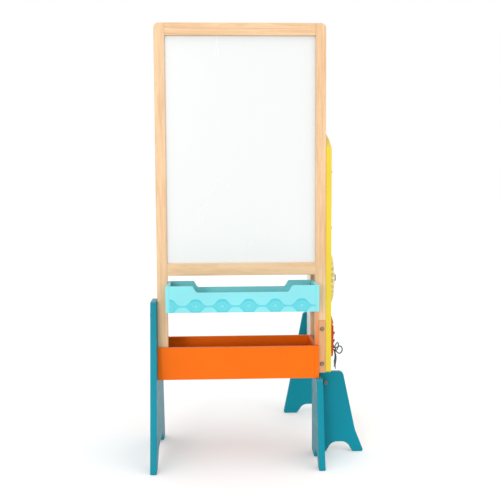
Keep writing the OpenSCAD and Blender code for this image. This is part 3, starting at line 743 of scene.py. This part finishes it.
def tray_print(tree, place):
    """How dark the print is at a point: 0 on plain paint, 1 in full colour."""
    axes = add(tree, "ShaderNodeSeparateXYZ", {0: place}).outputs
    from_middle = maths(tree, "SUBTRACT", axes["X"], (tray_low.x + tray_high.x) / 2 + CREST_SHIFT)
    steps = maths(tree, "ROUND", maths(tree, "DIVIDE", from_middle, CREST_GAP))
    across = maths(tree, "SUBTRACT", from_middle, maths(tree, "MULTIPLY", steps, CREST_GAP))
    up = maths(tree, "SUBTRACT", axes["Z"], tray_low.z + CREST_Z)
    wave = maths(tree, "COSINE", maths(tree, "MULTIPLY", across, 2 * math.pi / CREST_GAP))
    hollow = maths(tree, "SUBTRACT", 1, maths(tree, "POWER", remap(tree, wave, -1, 1), 2))
    dome = maths(tree, "SUBTRACT", 1, maths(tree, "MULTIPLY", hollow, hollow))
    half = remap(tree, dome, 0, 1, BAND_THIN, BAND_HALF)
    height = maths(tree, "ABSOLUTE", up)
    core_half = maths(tree, "MULTIPLY", half, CORE_WIDTH)
    inside = remap(tree, maths(tree, "SUBTRACT", height, half), PRINT_EDGE, -PRINT_EDGE)
    core = remap(tree, maths(tree, "SUBTRACT", height, core_half), PRINT_EDGE, -PRINT_EDGE)
    print_share = maths(tree, "SUBTRACT", inside, maths(tree, "MULTIPLY", core, CORE_PALER))
    distance = maths(tree, "SQRT", maths(tree, "ADD", maths(tree, "MULTIPLY", across, across),
                                         maths(tree, "MULTIPLY", up, up)))
    for radius, darkness in RINGS:
        disc = remap(tree, distance, radius + 0.4 * MM, radius - 0.4 * MM)
        print_share = add(tree, "ShaderNodeMix", {0: disc, 2: print_share, 3: darkness}).outputs[0]
    return print_share


def tray_colours(tree, place, colour):
    """The tray's paint, with the wave printed on its front only."""
    on_front = remap(tree, facing(tree)["Y"], -0.9, -0.99)
    printed = maths(tree, "MULTIPLY", tray_print(tree, place), on_front)
    share = maths(tree, "MULTIPLY", printed, PRINT_STRENGTH)
    return mixed(tree, share, colour_clouds(tree, place, colour), WAVE)


tray_paint = painted("tray_front_paint", AQUA, 1.04, tray_colours)
print("tray print:", round((tray_high.x - tray_low.x) / CREST_GAP, 1), "crests")

# %% [markdown]
# ## The two faces of the activity board
#
# The board is sprayed yellow on its play side and its edges. On the face that looks at the bin, off-white is
# painted in as a painted reflection of the white room, seen along that face. Which way a face looks tells the
# two apart, so one material serves the whole board.

# %% Activity board
REFLECTED_WHITE = paint(222, 220, 214)


def yellow_and_painted_reflection(tree, place, colour):
    """Yellow paint, with off-white on the face that looks at the bin as a painted reflection."""
    on_inside = remap(tree, facing(tree)["X"], -0.9, -0.99)
    # Off-white on the inner face stands in for the white room reflected along it: a painted reflection
    painted_reflection = colour_clouds(tree, place, REFLECTED_WHITE, 0.015)
    return mixed(tree, on_inside, colour_clouds(tree, place, colour), painted_reflection)


board_paint = painted("activity_board_paint", YELLOW, 1.03, yellow_and_painted_reflection)
print("board paint:", board_paint.name)

# %% [markdown]
# ## Writing surfaces
#
# The whiteboard is a hard glossy laminate. Wiping leaves long, faint arcs of old ink that only just show.
# The chalkboard behind it is matt and holds a haze of chalk in broad sweeps, so it is rough all over.

# %% Whiteboard and chalkboard
def writing_surface(name, clean, marked, amount, sweep, rough, coat, grit):
    """A board with wiped marks in long sweeps."""
    material, tree, shader, place = new_material(name, Coat_Weight=coat, Coat_Roughness=0.08)
    swept = stretched(tree, place, sweep, (0, math.radians(24), 0))
    arcs = remap(tree, noise(tree, swept, 5, 5, 0.62, 1.2), 0.46, 0.72)
    specks = remap(tree, noise(tree, place, 900, 1), 0.62, 0.75)
    marks = maths(tree, "MULTIPLY", maths(tree, "ADD", arcs, maths(tree, "MULTIPLY", specks, 0.25)), amount)
    finish(tree, shader, mixed(tree, marks, clean, marked), remap(tree, arcs, 0, 1, rough, rough + 0.1),
           noise(tree, place, 700, 2), grit)
    return material


whiteboard_face = writing_surface("whiteboard_laminate", paint(211, 213, 212), paint(188, 194, 198), 0.1,
                                  (1, 1, 0.35), 0.22, 0.35, 0.00001)
chalkboard_face = writing_surface("chalkboard_paint", paint(38, 44, 42), paint(120, 124, 120), 0.5,
                                  (1.6, 1, 0.5), 0.78, 0.0, 0.00006)
print("writing surfaces:", whiteboard_face.name, chalkboard_face.name)

# %% [markdown]
# ## Metal, plastic and cord
#
# Bolts are cast and plated, so they have brushed, uneven sheen. Gears and caps are moulded: their colour
# has a faint flow pattern and a fine spark-eroded skin, with a painted highlight on their edges. The lace is
# darker in the braid's gaps and lighter on its crowns, painted shade that follows the strand attribute the
# braid left on its mesh.

# %% Metal
def metal(name, dark, light, rough=0.34):
    """Plated metal with turning marks and dulled patches."""
    material, tree, shader, place = new_material(name, Metallic=1.0)
    dull = noise(tree, place, 160, 4)
    marks = noise(tree, stretched(tree, place, (1, 1, 9)), 900, 2)
    wear_and_highlight = use(tree, edge_wear_and_highlight, Vector=place, Width=0.0008, Break_Up=500.0)
    base = mixed(tree, remap(tree, dull, 0.3, 0.7), dark, light)
    rubbed = mixed(tree, maths(tree, "MULTIPLY", wear_and_highlight["Rubbed"], 0.5), base, scaled(light, 1.25))
    finish(tree, shader, rubbed, remap(tree, dull, 0.3, 0.7, rough + 0.12, rough), marks, 0.00002)
    return material


bolt_metal = metal("bolt_metal", paint(112, 96, 84), paint(154, 138, 124))
screw_metal = metal("screw_metal", paint(140, 136, 130), paint(190, 188, 182), 0.28)
axle_steel = metal("axle_steel", paint(150, 150, 150), paint(200, 200, 202), 0.22)
eyelet_metal = metal("eyelet_metal", paint(158, 150, 138), paint(206, 200, 188), 0.22)


# %% Moulded plastic
def moulded(name, colour, rough=0.4):
    """Moulded plastic with a faint flow pattern and a painted highlight on its edges."""
    material, tree, shader, place = new_material(name, Subsurface_Weight=0.06, Subsurface_Scale=0.004)
    flow = noise(tree, stretched(tree, place, (1, 0.4, 1)), 22, 3, 0.5, 1.5)
    wear_and_highlight = use(tree, edge_wear_and_highlight, Vector=place, Width=0.0016, Break_Up=160.0)
    dust = use(tree, settled_dust, Vector=place, Amount=0.18)
    base = mixed(tree, remap(tree, flow, 0.3, 0.7), scaled(colour, 0.95), scaled(colour, 1.04))
    # Edges are lightened: a painted highlight
    edge_highlighted = mixed(tree, maths(tree, "MULTIPLY", wear_and_highlight["Edge"], 0.35), base, scaled(colour, 1.15))
    gloss = remap(tree, flow, 0.3, 0.7, rough - 0.04, rough + 0.05)
    finish(tree, shader, mixed(tree, dust["Dust"], edge_highlighted, DUST), gloss, noise(tree, place, 1500, 1), 0.00003)
    return material


gear_cream = moulded("gear_cream", paint(228, 218, 176))
gear_orange = moulded("gear_orange", paint(230, 104, 20))
gear_teal = moulded("gear_teal", paint(8, 140, 158))
cap_grey = moulded("cap_grey", paint(132, 134, 140), 0.32)
lace_tip = moulded("lace_tip", paint(112, 116, 122), 0.25)


# %% Braided cord
def braid(name, shaded_gap, raised):
    """Braided cotton: painted shade in the gaps between strands, lighter on their crowns."""
    material, tree, shader, place = new_material(name, Sheen_Weight=0.4, Sheen_Roughness=0.5)
    strand = add(tree, "ShaderNodeAttribute", {}, attribute_name="strand").outputs["Fac"]
    fluff = noise(tree, place, 2600, 3)
    crown = maths(tree, "ADD", maths(tree, "MULTIPLY", strand, 0.8), maths(tree, "MULTIPLY", fluff, 0.3))
    rough = remap(tree, fluff, 0.3, 0.7, 0.78, 0.95)
    # The strand attribute darkens the gaps: painted shade
    finish(tree, shader, mixed(tree, crown, shaded_gap, raised), rough, fluff, 0.0001)
    return material


lace_cord = braid("lace_cord", paint(14, 34, 42), paint(46, 88, 102))
for piece in (laces["lace_left"][0], laces["lace_right"][0], knot, crossings):
    piece.data.materials.append(lace_cord)
for tip in tip_on.values():
    tip.data.materials.append(lace_tip)
print("materials:", len(bpy.data.materials))

# %% [markdown]
# ## Rounding the boards
#
# A router has run round every board, so no arris is sharp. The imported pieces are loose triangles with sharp
# edges. Each is copied, its corners merged and its flat triangles dissolved, and then only the true
# edges are bevelled. Edges round a drilled hole are left alone, because a bolt or dowel fills the hole.

# %% Where the holes are
FASTENERS = ["rail_dowels", "foot_dowels", "tray_screws", "bin_screws", "side_panel_bolts", "foot_bolts",
             "corner_bolts", "board_screws", "gear_axles"]


def axis_of(points):
    """A long solid's middle, the number of its long axis, its half length and its radius."""
    low, high = corners(points)
    size = high - low
    long_axis = max(range(3), key=lambda k: size[k])
    radius = max(size[k] for k in range(3) if k != long_axis) / 2
    return (low + high) / 2, long_axis, size[long_axis] / 2, radius


PAST_END, PAST_WALL = 1 * MM, 0.3 * MM
holes = [axis_of(group) for node in FASTENERS for group in islands(node)]


def beside_hole(point):
    """Whether a point is on the rim or the wall of a drilled hole."""
    for centre, long_axis, half, radius in holes:
        away = point - centre
        along = abs(away[long_axis])
        away[long_axis] = 0
        if along < half + PAST_END and away.length < radius + PAST_WALL:
            return True
    return False


print("drilled holes:", len(holes))


# %% Round a board's edges
TRUE_EDGE, FLAT = math.radians(35), math.radians(0.4)


def eased(node, radius, material, segments=4):
    """A copy of a packed board with its edges rounded, in its finish."""
    bm = bmesh.new()
    bm.from_mesh(NODES[node].data)
    bmesh.ops.remove_doubles(bm, verts=bm.verts, dist=SAME_PLACE)
    bmesh.ops.dissolve_limit(bm, angle_limit=FLAT, verts=bm.verts, edges=bm.edges)
    edges = [edge for edge in bm.edges
             if len(edge.link_faces) == 2 and edge.calc_face_angle(0) > TRUE_EDGE
             and not beside_hole((edge.verts[0].co + edge.verts[1].co) / 2)]
    bmesh.ops.bevel(bm, geom=edges, offset=radius, offset_type="OFFSET", segments=segments, profile=0.5,
                    affect="EDGES", clamp_overlap=False, material=-1)
    bmesh.ops.remove_doubles(bm, verts=bm.verts, dist=0.005 * MM)
    piece = make_object(node + "_rounded", bm)
    piece.data.materials.clear()
    piece.data.materials.append(material)
    even = piece.modifiers.new("even_shading", "WEIGHTED_NORMAL")
    even.keep_sharp = True
    return stand_for(piece, node)


# How far each board's edges are rounded, and what it is finished with
BOARDS = {
    1.2 * MM: [("left_stile", pine["Z"]), ("right_stile", stile_pine), ("top_rail", pine["X"]),
               ("lower_rail", pine["X"]), ("rear_post", pine["Z"]), ("corner_batten", shaded_batten_pine)],
    0.9 * MM: [("tray_front", tray_paint), ("tray_back", aqua), ("tray_left_end", aqua),
               ("tray_right_end", aqua), ("bin_front", orange), ("bin_back", orange),
               ("bin_right_end", orange)],
    0.6 * MM: [("tray_bottom", aqua), ("bin_bottom", orange), ("shoe_tongue", shoe_cream)],
    2.0 * MM: [("left_side_panel", teal), ("right_foot_panel", teal), ("outrigger_foot", teal),
               ("rear_foot", teal), ("activity_board", board_paint)],
    1.5 * MM: [("shoe_upper", shoe_red), ("shoe_toe_cap", shoe_tan)],
    0.7 * MM: [("large_gear", gear_cream), ("medium_gear", gear_orange), ("small_gear", gear_teal)]}
for radius, boards in BOARDS.items():
    for node, material in boards:
        piece = eased(node, radius, material, 2 if "gear" in node else 4)
        print(piece.name, len(piece.data.polygons), "faces")

# %% [markdown]
# ## Bolts and screws
#
# The bolts are flat-topped furniture bolts with a washer rim and a hexagon socket. The dome, rim and shank
# are one profile spun round the axis. The socket is a hexagon bridged to the dome's round opening and pushed
# down. One bolt of each size is made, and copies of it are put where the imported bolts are.

# %% One socket-headed bolt
# The head from the socket's mouth to its rim, then the socket, as shares of the head's radius and height
HEAD_SHARES = ((0.52, 1), (0.66, 1), (0.8, 0.88), (0.89, 0.66), (0.92, 0.32), (0.99, 0.28), (1, 0.2), (1, 0))
SOCKET_R, SOCKET_TOP, SOCKET_DEPTH = 0.46, 0.92, 0.5


def socket_bolt(radius, height, shank, length, steps=24):
    """A bolt along Z: the head stands above z = 0, the shank hangs below."""
    profile = [(radius * across, height * up) for across, up in HEAD_SHARES]
    profile += [(shank, 0), (shank, -length), (0, -length)]
    bm = spun(profile, steps, False)
    opening = [edge for edge in bm.edges if len(edge.link_faces) == 1]
    made = bmesh.ops.create_circle(bm, cap_ends=False, segments=6, radius=SOCKET_R * radius,
                                   matrix=Matrix.Translation((0, 0, SOCKET_TOP * height)))
    hexagon = list({edge for vert in made["verts"] for edge in vert.link_edges})
    cut = bmesh.ops.subdivide_edges(bm, edges=hexagon, cuts=steps // 6 - 1)
    hexagon = list({part for part in cut["geom"] if isinstance(part, bmesh.types.BMEdge)} | set(hexagon))
    bmesh.ops.bridge_loops(bm, edges=opening + hexagon)
    down = bmesh.ops.extrude_edge_only(bm, edges=hexagon)["geom"]
    walls = [part for part in down if isinstance(part, bmesh.types.BMVert)]
    bmesh.ops.translate(bm, verts=walls, vec=(0, 0, -SOCKET_DEPTH * height))
    floor_edges = [part for part in down if isinstance(part, bmesh.types.BMEdge)]
    bmesh.ops.edgeloop_fill(bm, edges=floor_edges)
    return as_mesh(bm, "socket_bolt")


def head_frame(points):
    """The placing matrix, head radius and height, shank radius and length of a packed bolt."""
    centre, long_axis, half, radius = axis_of(points)

    def reach(point):
        away = point - centre
        away[long_axis] = 0
        return away.length

    widest = [p[long_axis] for p in points if reach(p) > 0.98 * radius]
    outwards = 1 if sum(widest) / len(widest) > centre[long_axis] else -1
    base = min(widest, key=lambda value: value * outwards)
    tip = centre[long_axis] - outwards * half
    shank = max(reach(p) for p in points if abs(p[long_axis] - tip) < 0.1 * MM)
    direction = Vector([outwards if k == long_axis else 0 for k in range(3)])
    seat = centre.copy()
    seat[long_axis] = base
    height = abs(centre[long_axis] + outwards * half - base)
    turn = Vector((0, 0, 1)).rotation_difference(direction).to_matrix().to_4x4()
    return Matrix.Translation(seat) @ turn, radius, height, shank, abs(base - tip)


# %% Put the bolts and screws in
bolt_kinds = {}
BOLT_SETS = {"side_panel_bolts": bolt_metal, "foot_bolts": bolt_metal, "corner_bolts": bolt_metal,
             "tray_screws": screw_metal, "bin_screws": screw_metal, "board_screws": screw_metal}
for node, material in BOLT_SETS.items():
    shapes = []
    for group in islands(node):
        matrix, *sizes = head_frame(group)
        kind = tuple(round(size / MM, 2) for size in sizes)
        if kind not in bolt_kinds:
            bolt_kinds[kind] = socket_bolt(*sizes)
        shapes.append((bolt_kinds[kind], matrix))
    piece = stand_for(placed(node + "_set", shapes), node)
    piece.data.materials.append(material)
    print(piece.name, len(shapes), "pieces")

# %% [markdown]
# ## Eyelets and gear caps
#
# Both are lathe work. An eyelet is a thin ring whose flange rolls over the front. A cap has a soft dome with
# a shallow dish in its middle, which tells a small hand where to push.

# %% Eyelets and caps
TO_PLUS_X = Matrix.Rotation(math.radians(90), 4, "Y")
EYELET_RIM = 0.8 * MM
# The cap's dome from its dish to its foot, as shares of its radius and height
CAP_SHARES = ((0, 0.86), (0.22, 0.87), (0.42, 0.95), (0.52, 1), (0.7, 1), (0.88, 0.93), (0.97, 0.8),
              (1, 0.62), (1, 0.2), (0.96, 0.14), (0.96, 0), (0, 0))

eyelet_shapes = []
for group in islands("shoe_eyelets"):
    low, high = corners(group)
    seat = (low + high) / 2
    flange = (high.y - low.y) / 2
    bore = min(math.hypot(p.y - seat.y, p.z - seat.z) for p in group)
    depth = high.x - low.x - EYELET_RIM
    wall = bore + 1 * MM
    profile = [(bore, -depth), (wall, -depth), (wall, 0), (flange, 0), (flange, 0.3 * MM),
               (flange - 0.5 * MM, 0.62 * MM), (flange - 1.2 * MM, EYELET_RIM),
               (bore + 0.45 * MM, 0.66 * MM), (bore, 0.2 * MM)]
    seat.x = high.x - EYELET_RIM
    eyelet_shapes.append((turned(profile, 32), Matrix.Translation(seat) @ TO_PLUS_X))
eyelets = stand_for(placed("shoe_eyelet_rings", eyelet_shapes), "shoe_eyelets")
eyelets.data.materials.append(eyelet_metal)

cap_shapes = []
for group in islands("gear_caps"):
    low, high = corners(group)
    radius, height = (high.y - low.y) / 2, high.x - low.x
    profile = [(radius * across, height * up) for across, up in CAP_SHARES]
    seat = (low + high) / 2
    seat.x = low.x
    cap_shapes.append((turned(profile, 40), Matrix.Translation(seat) @ TO_PLUS_X))
caps = stand_for(placed("gear_cap_set", cap_shapes), "gear_caps")
caps.data.materials.append(cap_grey)
print("eyelets:", len(eyelet_shapes), "caps:", len(cap_shapes))

# %% [markdown]
# ## Moulded rings on the gears
#
# A moulded gear is stiffened by a raised ring round its hub and, where there is room, another inside its
# teeth. A ring is a small rounded profile spun round the axle. It turns with its gear, so it rides on
# the gear's body, and its inner edge stays clear of the cap, which stands still.

# %% Rings
RING_H = 1.2 * MM
# For each gear: its finish, then the inner and outer radius of each ring
GEAR_RINGS = {"large_gear": (gear_cream, ((12.5 * MM, 17 * MM), (50.5 * MM, 54.5 * MM))),
              "medium_gear": (gear_orange, ((10.5 * MM, 14 * MM),)),
              "small_gear": (gear_teal, ((10.5 * MM, 14 * MM), (19 * MM, 22.5 * MM)))}


def ring_profile(inner, outer):
    """A low ring with rounded shoulders, sunk a little into the gear."""
    ease = 0.35 * RING_H
    nick = 0.3 * ease
    return [(inner, -ease), (outer, -ease), (outer, RING_H - ease), (outer - nick, RING_H - nick),
            (outer - ease, RING_H), (inner + ease, RING_H), (inner + nick, RING_H - nick),
            (inner, RING_H - ease)]


for node, (material, rings) in GEAR_RINGS.items():
    seat = middle(node)
    seat.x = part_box(node)[1].x
    matrix = Matrix.Translation(seat) @ TO_PLUS_X
    piece = placed(node + "_rings", [(turned(ring_profile(*ring), 72), matrix) for ring in rings])
    piece.data.materials.append(material)
    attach(piece, body_name(node))
    print(piece.name, len(rings), "rings")

# %% [markdown]
# ## Stitches on the shoe
#
# The shoe is painted board, but its maker marked the seams with rows of real thread. A stitch is a grain of
# rice: an icosphere with few faces, drawn out along the seam. Rows follow the sides, the top and the slot.

# %% Stitch rows
STITCH_LONG, STITCH_THICK, STITCH_GAP = 1.5 * MM, 0.45 * MM, 4.2 * MM
SEAM_IN, TAPER, TOE_UP = 4.5 * MM, 7.2 * MM, 16 * MM
SLOT_OUT, SLOT_ENDS = 2.2 * MM, 7 * MM
STITCH_FACES = 20


def stitch_row(bm, start, end):
    """Stitches from start to end across the shoe's face."""
    length = (end - start).length
    count = max(2, round(length / STITCH_GAP))
    turn = Vector((0, 0, 1)).rotation_difference(end - start).to_matrix().to_4x4()
    size = Matrix.Diagonal((STITCH_THICK, STITCH_THICK, STITCH_LONG, 1))
    for i in range(count):
        seat = Matrix.Translation(start.lerp(end, (i + 0.5) / count))
        bmesh.ops.create_icosphere(bm, subdivisions=1, radius=1, matrix=seat @ turn @ size)


shoe_low, shoe_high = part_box("shoe_upper")
tongue_low, tongue_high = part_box("shoe_tongue")


def on_shoe(y, z):
    """A point on the shoe's face."""
    return Vector((shoe_high.x, y, z))


stitch_bm = bmesh.new()
top_z = shoe_high.z - SEAM_IN
for side, edge, slot in ((-1, shoe_low.y, tongue_low.y), (1, shoe_high.y, tongue_high.y)):
    seam, slot_seam = edge - side * SEAM_IN, slot + side * SLOT_OUT
    stitch_row(stitch_bm, on_shoe(seam, top_z), on_shoe(seam - side * TAPER, shoe_low.z + TOE_UP))
    stitch_row(stitch_bm, on_shoe(slot_seam, tongue_high.z - SLOT_ENDS),
               on_shoe(slot_seam, tongue_low.z + SLOT_ENDS))
stitch_row(stitch_bm, on_shoe(shoe_low.y + 2 * SEAM_IN, top_z), on_shoe(shoe_high.y - 2 * SEAM_IN, top_z))
stitches = make_object("shoe_stitches", stitch_bm)
stitches.data.materials.append(shoe_cream)
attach(stitches, body_name("shoe_upper"))
print("stitches:", len(stitches.data.polygons) // STITCH_FACES)

# %% [markdown]
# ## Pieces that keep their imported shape
#
# The two drawing sheets are flat boards held in grooves, the axles are plain turned pins and the dowels are
# glued in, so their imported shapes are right. They only need a finish.

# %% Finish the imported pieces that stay
KEPT = {"whiteboard": whiteboard_face, "chalkboard": chalkboard_face, "rail_dowels": beech,
        "foot_dowels": beech, "gear_axles": axle_steel}
for node, material in KEPT.items():
    NODES[node].data.materials.clear()
    NODES[node].data.materials.append(material)

# %% [markdown]
# ## Measure the finished size
#
# The finished easel has to fill the same box as the imported one, so its box is printed.

# %% Print the finished easel's box
low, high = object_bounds()
print("finished easel, metres:", [round(size, 3) for size in high - low])
